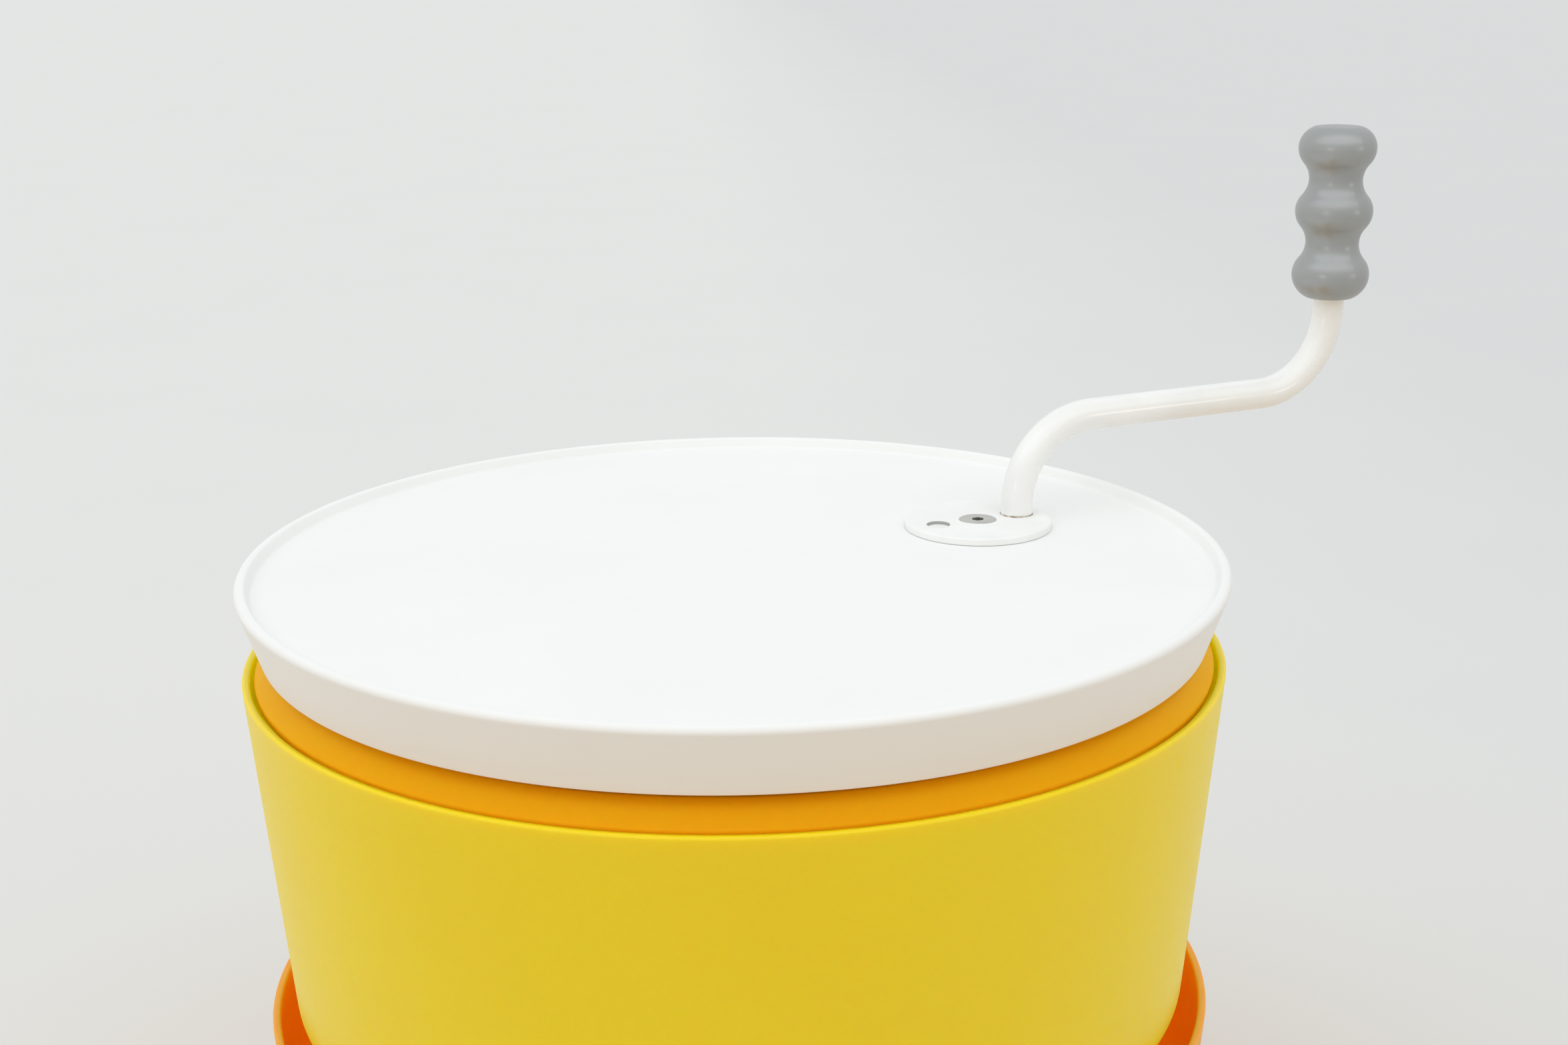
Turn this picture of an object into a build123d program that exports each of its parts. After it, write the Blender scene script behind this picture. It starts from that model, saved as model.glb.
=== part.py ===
from build123d import *
import math
import os

# Hand-cranked salad spinner. An orange collector stands on the table and catches the water. A yellow
# splash tub stands in its mouth on a pedestal, a slotted basket spins inside the tub, and a white lid
# carries the crank and the gears that drive the basket. Sizes are in millimetres. The origin is the
# centre of the base pad's underside, +Z is up, and +X runs from the lid's axis to the crank.

# Driving dimensions of the three tapered tubs
tub_taper = 0.0872
tub_corner = 12.0
tub_edge = 1.3
splash_rim_radius = 209.5
splash_rim = 311.7
splash_bottom = 156.0
splash_wall = 3.4
splash_floor = 3.5
collector_rim_radius = 208.0
collector_rim = 156.5
collector_wall = 3.5
collector_floor = 4.0
basket_rim_radius = 194.0
basket_rim = 321.6
basket_bottom = 181.0
basket_wall = 2.6
basket_floor = 3.0
basket_corner = 10.0
basket_edge = 1.0
fine_edge = 1.0
inner_rounding = 3.0

# Driving dimensions of the turned-down ring round the basket's rim
rim_ring_radius = 204.4
rim_ring_shoulder = 311.6
rim_ring_bottom = 308.4
rim_ring_drop = 1.2
rim_ring_run = 1.04
rim_ring_width = 3.0
rim_ring_hem = 2.2
rim_ring_collar = 2.0
rim_ring_foot = 315.0
rim_ring_rounding = 2.0
rim_ring_edge = 0.8

# Driving dimensions of the slots that let the water out
basket_slot_count = 54
basket_slot_width = 3.2
wall_slot_rows = ((199.0, 241.0), (249.0, 291.0))
floor_slot_reach = (84.0, 158.0)
drain_slot_count = 24
drain_slot_width = 3.6
drain_slot_reach = (142.0, 178.0)

# Driving dimensions of the base
screw_count = 4
first_screw = 45.0
screw_end_gap = 1.0
base_pad_radius = 168.0
base_pad_height = 3.0
pedestal_flange_radius = 80.0
pedestal_flange = 5.0
pedestal_rounding = 4.0
pedestal_foot_radius = 66.0
pedestal_top_radius = 56.0
pedestal_wall = 4.0
pedestal_plate = 6.0
pedestal_bore = 21.0
pedestal_screw_circle = 73.0
key_flats = 64.0
key_height = 10.0
key_clearance = 0.4

# Driving dimensions of the middle of the splash tub and its post
raised_radius = 60.0
raised_height = 13.0
raised_draft = 2.0
raised_edge = 2.0
raised_rounding = 4.0
socket_plate_radius = 58.5
socket_screw_circle = 48.0
post_radius = 8.0
post_end_rounding = 2.0
post_thread = 6.0
post_flange_radius = 25.0
post_flange = 6.0
post_top = 326.0
post_foot = 154.5
post_washer_radius = 12.0
post_washer = 2.5
post_nut_flats = 19.0
post_nut = 10.0
key_pin_radius = 2.5
key_pin_height = 185.0

# Driving dimensions of the bearing that the basket turns on
sleeve_radius = 12.0
sleeve_shoulder = 330.0
sleeve_top = 338.0
sleeve_flats = 20.0
sleeve_end_wall = 2.0
collar_radius = 17.0
collar_bottom = 190.0
collar_top = 194.0
thrust_washer = 1.5
bush_radius = 15.5
lower_bush_top = 213.5
upper_bush_span = (240.0, 254.0)
running_clearance = 0.06

# Driving dimensions of the basket's hub
hub_flange_radius = 58.0
hub_flange = 4.0
hub_rounding = 5.0
hub_foot_radius = 38.0
hub_top_radius = 27.0
hub_top = 316.0
hub_foot_bore = 18.0
hub_throat = 17.5
hub_throat_bottom = 257.0
hub_screw_circle = 48.0
hub_screw_count = 6
backing_ring_inner = 40.0
backing_ring = 4.0
basket_bore = 20.0
pinion_screw_length = 26.0

# Driving dimensions of the lid
lid_top = 352.0
lid_radius = 210.0
lid_height = 28.4
lid_foot_radius = 201.3
lid_wall = 3.2
lid_plate = 3.0
lid_face_drop = 4.6
lid_face_radius = 203.6
lid_rim_width = 4.4
lid_rim_rounding = 2.4
lid_foot_edges = (0.6, 0.8)
lid_inner_rounding = 2.0
lid_inner_radius = 203.2
lid_post_circle = 190.0
lid_post_radius = 4.5
lid_post_count = 8
lid_hub_flange_radius = 34.0
lid_hub_flange = 4.0
lid_hub_radius = 16.0
lid_hub_foot = 262.0
lid_hub_headroom = 1.0
lid_hub_screw_circle = 27.0
cover_radius = 197.4
cover_thickness = 2.4
cover_opening = 31.0
cover_screw_length = 16.0

# Driving dimensions of the gear train: crank gear, idler pinion and gear, basket pinion
gear_module = 2.0
pressure_angle = math.radians(20)
gear_addendum = 1.8
gear_dedendum = 2.5
gear_backlash = 0.35
flank_steps = 4
crank_teeth = 60
idler_pinion_teeth = 20
idler_gear_teeth = 36
basket_teeth = 27
upper_layer = (335.0, 342.2)
lower_layer = (327.2, 333.6)
idler_axle_radius = 5.0
idler_axle_cover = 0.8
idler_axle_sink = 1.6
idler_boss_radius = 9.0
idler_washer_thickness = 0.8

# Driving dimensions of the crank and its grip
crank_offset = 120.4
disc_radius = 33.25
disc_thickness = 3.0
disc_gap = 0.3
disc_edge = 0.8
rod_radius = 7.25
rod_offset = 20.4
rod_bend = 38.0
arm_height = 393.3
grip_reach = 191.7
rod_top = 505.0
rod_foot = 337.0
drive_hole_radius = 5.0
dowel_sink = 1.3
crank_stub_radius = 29.5
crank_bush_radius = 31.5
crank_bush_flange_radius = 37.0
crank_bush_flange = 1.8
crank_screw_length = 20.0
journal_radius = 12.0
journal_gap = 0.5
journal_boss_radius = 17.0
grip_bottom = 437.0
grip_top = 518.2
grip_bulge_radius = 18.0
grip_waist_radius = 12.4
grip_bulges = (448.0, 478.0, 507.7)
grip_end_radius = 11.0
grip_end_rise = 0.7
grip_bore = 10.0
grip_bore_top = 509.0
clip_height = 500.0
clip_thickness = 1.2
clip_radius = 9.0
clip_groove_radius = 6.2
clip_room = 0.6
clip_opening = 4.0

# Driving dimensions of the screws: thread radius and head radius, then the socket's flats per thread radius
m3 = (1.5, 2.75)
m4 = (2.0, 4.0)
m5 = (2.5, 5.0)
m8 = (4.0, 8.65)
socket_flats = 1.25

# Sizes worked out from the driving dimensions
lid_foot = lid_top - lid_height
lid_face = lid_top - lid_face_drop
lid_under = lid_face - lid_plate
lid_slope = (lid_radius - lid_foot_radius) / lid_height
first_post = 180 / lid_post_count
lid_corner_radius = lid_radius + lid_rim_rounding * (lid_slope + math.hypot(1, lid_slope) - 1)
cover_top = lid_foot + cover_thickness
disc_bottom = lid_face + disc_gap
disc_top = disc_bottom + disc_thickness
raised_under = splash_bottom + raised_height
raised_face = raised_under + splash_floor
post_seat = raised_face + post_flange
basket_face = basket_bottom + basket_floor
basket_pitch_radius = gear_module * basket_teeth / 2
crank_to_idler = gear_module * (crank_teeth + idler_pinion_teeth) / 2
idler_to_axis = gear_module * (idler_gear_teeth + basket_teeth) / 2
idler_x = (idler_to_axis**2 + crank_offset**2 - crank_to_idler**2) / (2 * crank_offset)
idler_y = math.sqrt(idler_to_axis**2 - idler_x**2)
crank_axis = Pos(crank_offset, 0, 0)
idler_axis = Pos(idler_x, idler_y, 0)
grip_axis = Pos(crank_offset + grip_reach, 0, 0)

standing = (Align.CENTER, Align.CENTER, Align.MIN)


def disc(radius, bottom, top):
    """Cylinder on the Z axis between two heights."""
    return Pos(0, 0, bottom) * Cylinder(radius, top - bottom, align=standing)


def tube(outer, inner, bottom, top):
    """Ring on the Z axis between two heights."""
    return disc(outer, bottom, top) - disc(inner, bottom, top)


def hexagon(across_flats, bottom, top):
    """Hexagonal bar on the Z axis between two heights."""
    section = RegularPolygon(across_flats / 2, 6, major_radius=False)
    return Pos(0, 0, bottom) * extrude(section, top - bottom)


def turned(corners):
    """Solid turned about the Z axis from corners of (radius, height, rounding)."""
    points = [(radius, height) for radius, height, rounding in corners]
    roundings = [rounding for radius, height, rounding in corners]
    outline = FilletPolyline(points, radius=roundings, close=True)
    return revolve(Plane.XZ * make_face(outline), Axis.Z)


def tapered_radius(rim_radius, rim, height):
    """Outer radius of a tapered tub at a height below its rim."""
    return rim_radius - tub_taper * (rim - height)


def radial_slots(count, width, reach, bottom, top):
    """Bars along the radius, spread round the Z axis, that cut slots in a floor."""
    near, far = reach
    bar = Pos(0, 0, bottom) * Box(far - near, width, top - bottom, align=standing)
    return [place * bar for place in PolarLocations((near + far) / 2, count)]


def screw_hole(size, length):
    """Countersunk hole on the Z axis, with its mouth at height 0 and its end below."""
    thread, head = size
    cone = head - thread
    return turned([(0, 0, 0), (head, 0, 0), (thread, -cone, 0), (thread, -length, 0), (0, -length, 0)])


def flat_screw(size, length):
    """Countersunk screw that fills its hole, with a hexagonal socket in its head."""
    thread, head = size
    return screw_hole(size, length) - hexagon(socket_flats * thread, thread - head, 0)


def upward(screw):
    """The same screw turned over, so that it goes in from below."""
    return Rot(180, 0, 0) * screw


def ring_of(screw, count, circle, height, start=0):
    """Copies of a screw on a circle about the Z axis, at one height."""
    return [Pos(0, 0, height) * place * screw for place in PolarLocations(circle, count, start)]


def gear_face(teeth, first_tooth):
    """Spur gear outline with involute flanks and one tooth centred on the angle first_tooth."""
    pitch_radius = gear_module * teeth / 2
    base_radius = pitch_radius * math.cos(pressure_angle)
    root_radius = pitch_radius - gear_dedendum
    tip_radius = pitch_radius + gear_addendum
    half_tooth = (math.pi * gear_module / 2 - gear_backlash) / (2 * pitch_radius)

    def half_width(radius):
        """Half the angle that a tooth takes up at a radius."""
        angle = math.acos(base_radius / max(radius, base_radius))
        return half_tooth + involute(pressure_angle) - involute(angle)

    flank_foot = max(root_radius, base_radius)
    flank = tip_radius - flank_foot
    radii = [flank_foot + flank * step / flank_steps for step in range(flank_steps + 1)]
    if root_radius < flank_foot:
        radii.insert(0, root_radius)
    points = []
    for tooth in range(teeth):
        middle = math.radians(first_tooth) + 2 * math.pi * tooth / teeth
        rising = [(radius, middle - half_width(radius)) for radius in radii]
        falling = [(radius, middle + half_width(radius)) for radius in reversed(radii)]
        points += [(r * math.cos(a), r * math.sin(a)) for r, a in rising + falling]
    return make_face(Polyline(points, close=True))


def involute(angle):
    """The involute function of a pressure angle."""
    return math.tan(angle) - angle


def gear(teeth, first_tooth, layer):
    """Toothed rim between the two heights of a layer, on the Z axis."""
    bottom, top = layer
    return Pos(0, 0, bottom) * extrude(gear_face(teeth, first_tooth), top - bottom)


def make_base_pad():
    """Soft non-slip disc that the spinner stands on."""
    return turned([
        (0, 0, 0),
        (base_pad_radius, 0, tub_edge),
        (base_pad_radius, base_pad_height, 0),
        (0, base_pad_height, 0),
    ])


def make_collector_tub():
    """Open tub that catches the water, with holes for the pedestal's screws."""
    bottom = base_pad_height
    face = bottom + collector_floor
    foot_radius = tapered_radius(collector_rim_radius, collector_rim, bottom)
    face_radius = tapered_radius(collector_rim_radius, collector_rim, face) - collector_wall
    tub = turned([
        (0, bottom, 0),
        (foot_radius, bottom, tub_corner),
        (collector_rim_radius, collector_rim, tub_edge),
        (collector_rim_radius - collector_wall, collector_rim, tub_edge),
        (face_radius, face, tub_corner - collector_wall),
        (0, face, 0),
    ])
    return tub - make_pedestal_screws(screw_hole)


def make_pedestal():
    """Hollow stand in the collector with a hexagonal key on top that carries the splash tub."""
    foot = base_pad_height + collector_floor
    flange_top = foot + pedestal_flange
    plate_bottom = splash_bottom - pedestal_plate
    stand = turned([
        (pedestal_foot_radius - pedestal_wall, foot, 0),
        (pedestal_flange_radius, foot, 0),
        (pedestal_flange_radius, flange_top, fine_edge),
        (pedestal_foot_radius, flange_top, pedestal_rounding),
        (pedestal_top_radius, splash_bottom, fine_edge),
        (pedestal_bore, splash_bottom, 0),
        (pedestal_bore, plate_bottom, 0),
        (pedestal_top_radius - pedestal_wall, plate_bottom, inner_rounding),
    ])
    key = hexagon(key_flats, splash_bottom, splash_bottom + key_height)
    key -= disc(pedestal_bore, splash_bottom, splash_bottom + key_height)
    return stand + key - make_pedestal_screws(screw_hole)


def make_pedestal_screws(shape=flat_screw):
    """Countersunk screws up through the collector's floor into the pedestal's flange."""
    screw = upward(shape(m5, collector_floor + pedestal_flange - screw_end_gap))
    return ring_of(screw, screw_count, pedestal_screw_circle, base_pad_height, first_screw)


def make_splash_tub():
    """Open tub round the basket, with a raised middle for the post and slots that drain the water."""
    floor_face = splash_bottom + splash_floor
    foot_radius = tapered_radius(splash_rim_radius, splash_rim, splash_bottom)
    face_radius = tapered_radius(splash_rim_radius, splash_rim, floor_face) - splash_wall
    tub = turned([
        (post_thread, raised_under, 0),
        (raised_radius - raised_draft, raised_under, raised_edge),
        (raised_radius, splash_bottom, raised_edge),
        (foot_radius, splash_bottom, tub_corner),
        (splash_rim_radius, splash_rim, tub_edge),
        (splash_rim_radius - splash_wall, splash_rim, tub_edge),
        (face_radius, floor_face, tub_corner - splash_wall),
        (raised_radius + splash_wall, floor_face, inner_rounding),
        (raised_radius + splash_wall - raised_draft, raised_face, raised_rounding),
        (post_thread, raised_face, 0),
    ])
    tub -= radial_slots(drain_slot_count, drain_slot_width, drain_slot_reach, splash_bottom, floor_face)
    return tub - make_socket_screws(screw_hole)


def make_floor_socket():
    """Plate under the raised middle of the splash tub that drops over the pedestal's key."""
    plate_radius = socket_plate_radius - raised_draft
    plate = turned([
        (0, splash_bottom, 0),
        (socket_plate_radius, splash_bottom, 0),
        (plate_radius, raised_under, inner_rounding),
        (0, raised_under, 0),
    ])
    plate -= hexagon(key_flats + 2 * key_clearance, splash_bottom, raised_under)
    return plate - make_socket_screws(screw_hole)


def make_socket_screws(shape=flat_screw):
    """Countersunk screws up through the socket plate into the splash tub's floor."""
    screw = upward(shape(m4, raised_height + splash_floor - screw_end_gap))
    return ring_of(screw, screw_count, socket_screw_circle, splash_bottom, first_screw)


def make_post():
    """Fixed steel post that stands on the splash tub's raised middle."""
    post = turned([
        (0, post_foot, 0),
        (post_thread, post_foot, 0),
        (post_thread, raised_face, 0),
        (post_flange_radius, raised_face, 0),
        (post_flange_radius, post_seat, fine_edge),
        (post_radius, post_seat, 0),
        (post_radius, post_top, post_end_rounding),
        (0, post_top, 0),
    ])
    return post - make_key_pin()


def make_key_pin():
    """Cross pin in the post that stops the bearing sleeve turning."""
    pin = Cylinder(key_pin_radius, 2 * sleeve_radius)
    return Pos(0, 0, key_pin_height) * Rot(90, 0, 0) * pin


def make_post_washer():
    """Washer between the splash tub and the post's nut."""
    return tube(post_washer_radius, post_thread, raised_under - post_washer, raised_under)


def make_post_nut():
    """Hexagonal nut that clamps the post to the splash tub."""
    top = raised_under - post_washer
    return hexagon(post_nut_flats, top - post_nut, top) - disc(post_thread, top - post_nut, top)


def make_bearing_sleeve():
    """Sleeve that slides over the post, with a collar for the basket and a hexagonal end for the lid."""
    bore = post_radius + running_clearance
    sleeve = disc(sleeve_radius, post_seat, sleeve_shoulder)
    sleeve += disc(collar_radius, collar_bottom, collar_top)
    sleeve += hexagon(sleeve_flats, sleeve_shoulder, sleeve_top)
    sleeve -= disc(bore, post_seat, sleeve_shoulder - sleeve_end_wall)
    slot_width = 2 * (key_pin_radius + key_clearance)
    slot_height = key_pin_height + key_pin_radius + key_clearance - post_seat
    slot = Box(slot_width, 4 * sleeve_radius, slot_height, align=standing)
    return sleeve - Pos(0, 0, post_seat) * slot


def make_thrust_washer():
    """Plain washer on the sleeve's collar that the basket's lower bush turns on."""
    return tube(collar_radius, sleeve_radius, collar_top, collar_top + thrust_washer)


def make_bush(bottom, top):
    """Plain bearing bush that runs on the sleeve."""
    return tube(bush_radius, sleeve_radius + running_clearance, bottom, top)


def make_basket():
    """Tapered basket with two rows of slots in its wall and one in its floor."""
    foot_radius = tapered_radius(basket_rim_radius, basket_rim, basket_bottom)
    face_radius = tapered_radius(basket_rim_radius, basket_rim, basket_face) - basket_wall
    basket = turned([
        (basket_bore, basket_bottom, 0),
        (foot_radius, basket_bottom, basket_corner),
        (basket_rim_radius, basket_rim, basket_edge),
        (basket_rim_radius - basket_wall, basket_rim, basket_edge),
        (face_radius, basket_face, basket_corner - basket_wall),
        (basket_bore, basket_face, 0),
    ])
    reach = (face_radius - basket_corner, basket_rim_radius)
    cuts = radial_slots(basket_slot_count, basket_slot_width, floor_slot_reach, basket_bottom, basket_face)
    for bottom, top in wall_slot_rows:
        cuts += radial_slots(basket_slot_count, basket_slot_width, reach, bottom, top)
    return basket - cuts - make_hub_screws(screw_hole)


def make_rim_ring():
    """Turned-down ring glued round the basket's rim, which closes the gap under the lid."""
    top = basket_rim - rim_ring_drop
    collar_radius = tapered_radius(basket_rim_radius, basket_rim, rim_ring_foot) + rim_ring_collar
    hem_radius = rim_ring_radius - rim_ring_hem

    def slope_height(radius):
        """Height of the ring's sloping face at a radius."""
        return rim_ring_shoulder + (rim_ring_radius - radius) / rim_ring_run

    return turned([
        (tapered_radius(basket_rim_radius, basket_rim, rim_ring_foot), rim_ring_foot, 0),
        (collar_radius, rim_ring_foot, rim_ring_edge),
        (collar_radius, slope_height(collar_radius + rim_ring_width), rim_ring_edge),
        (hem_radius, slope_height(hem_radius + rim_ring_width), rim_ring_edge),
        (hem_radius, rim_ring_bottom, rim_ring_edge),
        (rim_ring_radius, rim_ring_bottom, rim_ring_edge),
        (rim_ring_radius, rim_ring_shoulder, rim_ring_rounding),
        (rim_ring_radius - rim_ring_run * (top - rim_ring_shoulder), top, rim_ring_edge),
        (tapered_radius(basket_rim_radius, basket_rim, top), top, 0),
    ])


def make_basket_hub():
    """Conical centre tube of the basket, which holds the bushes and carries the pinion."""
    bush_bottom = collar_top + thrust_washer
    flange_top = basket_face + hub_flange
    hub = turned([
        (hub_foot_bore, basket_face, 0),
        (hub_flange_radius, basket_face, 0),
        (hub_flange_radius, flange_top, fine_edge),
        (hub_foot_radius, flange_top, hub_rounding),
        (hub_top_radius, hub_top, fine_edge),
        (hub_throat, hub_top, 0),
        (hub_throat, hub_throat_bottom, 0),
        (bush_radius, hub_throat_bottom, 0),
        (bush_radius, bush_bottom, 0),
        (hub_foot_bore, bush_bottom, 0),
    ])
    return hub - make_hub_screws(screw_hole) - make_pinion_screws(screw_hole)


def make_hub_backing_ring():
    """Steel ring under the basket's floor that the hub's screws pull against."""
    ring = tube(hub_flange_radius, backing_ring_inner, basket_bottom - backing_ring, basket_bottom)
    return ring - make_hub_screws(screw_hole)


def make_hub_screws(shape=flat_screw):
    """Countersunk screws down through the hub's flange and the basket's floor into the backing ring."""
    length = hub_flange + basket_floor + backing_ring - screw_end_gap
    flange_top = basket_face + hub_flange
    return ring_of(shape(m4, length), hub_screw_count, hub_screw_circle, flange_top)


def make_drive_pinion():
    """Pinion on top of the basket's hub, in mesh with the idler's large gear."""
    tooth_angle = math.degrees(math.atan2(idler_y, idler_x)) + 180 / basket_teeth
    neck_radius = basket_pitch_radius - gear_dedendum
    pinion = disc(neck_radius, hub_top, lower_layer[0])
    pinion += gear(basket_teeth, tooth_angle, lower_layer)
    pinion -= disc(hub_throat, hub_top, lower_layer[1])
    return pinion - make_pinion_screws(screw_hole)


def make_pinion_screws(shape=flat_screw):
    """Small countersunk screws down through the pinion into the hub."""
    circle = (hub_throat + basket_pitch_radius - gear_dedendum) / 2
    return ring_of(shape(m3, pinion_screw_length), screw_count, circle, lower_layer[1])


def make_lid_shell():
    """Shallow round lid with a tapered skirt, a raised rim and posts for the gear cover."""
    inner_edge, outer_edge = lid_foot_edges
    shell = turned([
        (0, lid_under, 0),
        (lid_inner_radius, lid_under, lid_inner_rounding),
        (lid_foot_radius - lid_wall, lid_foot, inner_edge),
        (lid_foot_radius, lid_foot, outer_edge),
        (lid_corner_radius, lid_top, lid_rim_rounding),
        (lid_radius - lid_rim_width, lid_top, tub_edge),
        (lid_face_radius, lid_face, tub_edge),
        (0, lid_face, 0),
    ])
    post = disc(lid_post_radius, cover_top, lid_under)
    shell += [place * post for place in PolarLocations(lid_post_circle, lid_post_count, first_post)]
    shell += idler_axis * disc(idler_boss_radius, upper_layer[1] + idler_washer_thickness, lid_under)
    shell -= crank_axis * disc(crank_bush_radius, lid_under, lid_face)
    return shell - [make_idler_axle()] - make_cover_screws(screw_hole) - make_lid_hub_screws(screw_hole)


def make_lid_hub():
    """Tube under the lid that slides over the bearing sleeve and is keyed to its hexagonal end."""
    bore = sleeve_radius + running_clearance
    flange_bottom = lid_under - lid_hub_flange
    hub = disc(lid_hub_radius, lid_hub_foot, lid_under)
    hub += disc(lid_hub_flange_radius, flange_bottom, lid_under)
    hub -= disc(bore, lid_hub_foot, sleeve_shoulder)
    hub -= hexagon(sleeve_flats + 2 * key_clearance, sleeve_shoulder, sleeve_top + lid_hub_headroom)
    return hub - make_lid_hub_screws(screw_hole)


def make_lid_hub_screws(shape=flat_screw):
    """Countersunk screws up through the lid hub's flange into the lid."""
    screw = upward(shape(m4, lid_hub_flange + lid_plate - screw_end_gap))
    return ring_of(screw, screw_count, lid_hub_screw_circle, lid_under - lid_hub_flange, first_screw)


def make_gear_cover():
    """Flat cover that closes the lid from below, with a bearing for the crank gear."""
    cover = tube(cover_radius, cover_opening, lid_foot, cover_top)
    boss = disc(journal_boss_radius, cover_top, lower_layer[1])
    boss -= disc(journal_radius + running_clearance, cover_top, lower_layer[1])
    cover += crank_axis * boss
    return cover - [make_idler_axle()] - make_cover_screws(screw_hole)


def make_cover_screws(shape=flat_screw):
    """Countersunk screws up through the gear cover into the lid's posts."""
    screw = upward(shape(m4, cover_screw_length))
    return ring_of(screw, lid_post_count, lid_post_circle, lid_foot, first_post)


def make_crank_bush():
    """Flanged bush in the lid that the crank turns in."""
    flange_bottom = lid_under - crank_bush_flange
    bush = disc(crank_bush_radius, lid_under, lid_face)
    bush += disc(crank_bush_flange_radius, flange_bottom, lid_under)
    bush -= disc(crank_stub_radius + running_clearance, flange_bottom, lid_face)
    return crank_axis * bush


def make_idler_axle():
    """Steel pin between the lid and the gear cover that the idler turns on."""
    return idler_axis * disc(idler_axle_radius, lid_foot + idler_axle_cover, lid_under + idler_axle_sink)


def make_idler_washers():
    """Thin washers above and below the idler."""
    heights = (cover_top, upper_layer[1])
    washer = tube(idler_boss_radius, idler_axle_radius, 0, idler_washer_thickness)
    return [idler_axis * Pos(0, 0, height) * washer for height in heights]


def make_idler_gear():
    """Double gear: the pinion meets the crank gear and the large gear meets the basket's pinion."""
    to_crank = math.degrees(math.atan2(-idler_y, crank_offset - idler_x))
    to_basket = math.degrees(math.atan2(-idler_y, -idler_x))
    large_gear = gear(idler_gear_teeth, to_basket, lower_layer)
    pinion = gear(idler_pinion_teeth, to_crank + 180 / idler_pinion_teeth, upper_layer)
    neck = disc(gear_module * idler_pinion_teeth / 2 - gear_dedendum, lower_layer[1], upper_layer[0])
    idler = large_gear + neck + pinion
    bore = disc(idler_axle_radius + running_clearance, lower_layer[0], upper_layer[1])
    return idler_axis * (idler - bore)


def make_crank_gear():
    """Large gear under the lid, with a stub up through the bush and a journal in the gear cover."""
    to_idler = math.degrees(math.atan2(idler_y, idler_x - crank_offset))
    crank = gear(crank_teeth, to_idler, upper_layer)
    crank += disc(crank_stub_radius, upper_layer[1], disc_bottom)
    crank += disc(journal_radius, cover_top + journal_gap, upper_layer[0])
    crank -= Pos(rod_offset, 0, 0) * disc(rod_radius, rod_foot, disc_bottom)
    crank -= Pos(-rod_offset, 0, 0) * disc(drive_hole_radius, rod_foot, disc_bottom)
    return crank_axis * crank - make_crank_screw(screw_hole)


def make_crank_disc():
    """Round plate at the foot of the crank, with a countersunk hole and a drive hole."""
    plate = turned([
        (0, disc_bottom, 0),
        (disc_radius, disc_bottom, 0),
        (disc_radius, disc_top, disc_edge),
        (0, disc_top, 0),
    ])
    plate -= Pos(rod_offset, 0, 0) * disc(rod_radius, disc_bottom, disc_top)
    plate -= Pos(-rod_offset, 0, 0) * disc(drive_hole_radius, disc_bottom, disc_top)
    return crank_axis * plate - make_crank_screw(screw_hole)


def make_crank_screw(shape=flat_screw):
    """Countersunk socket screw that holds the disc on the crank gear."""
    return crank_axis * Pos(0, 0, disc_top) * shape(m8, crank_screw_length)


def make_drive_dowel():
    """Dowel sunk in the disc's second hole, which shares the drive with the rod's foot."""
    return crank_axis * Pos(-rod_offset, 0, 0) * disc(drive_hole_radius, rod_foot, disc_top - dowel_sink)


def make_crank_rod():
    """Round rod bent up, out and up again from the disc to the grip, with a groove for the clip."""
    rise = ((rod_offset, rod_foot), (rod_offset, arm_height))
    reach = ((grip_reach, arm_height), (grip_reach, rod_top))
    path = Plane.XZ * FilletPolyline(rise + reach, radius=rod_bend)
    rod = sweep(Plane(path @ 0, z_dir=path % 0) * Circle(rod_radius), path=path)
    groove = tube(2 * rod_radius, clip_groove_radius, clip_height, clip_height + clip_thickness)
    return crank_axis * (rod - Pos(grip_reach, 0, 0) * groove)


def make_grip_clip():
    """Open spring ring in the rod's groove that keeps the grip on."""
    clip = tube(clip_radius, clip_groove_radius, clip_height, clip_height + clip_thickness)
    gap = Box(clip_radius, clip_opening, clip_thickness, align=standing)
    return grip_axis * (clip - Pos(clip_radius, 0, clip_height) * gap)


def make_grip_sleeve():
    """Liner inside the grip that turns on the rod and catches the clip."""
    bore = rod_radius + running_clearance
    sleeve = tube(grip_bore, bore, grip_bottom, grip_bore_top)
    room = (clip_height - clip_room, clip_height + clip_thickness + clip_room)
    return grip_axis * (sleeve - tube(clip_radius + clip_room / 2, bore, *room))


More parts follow.
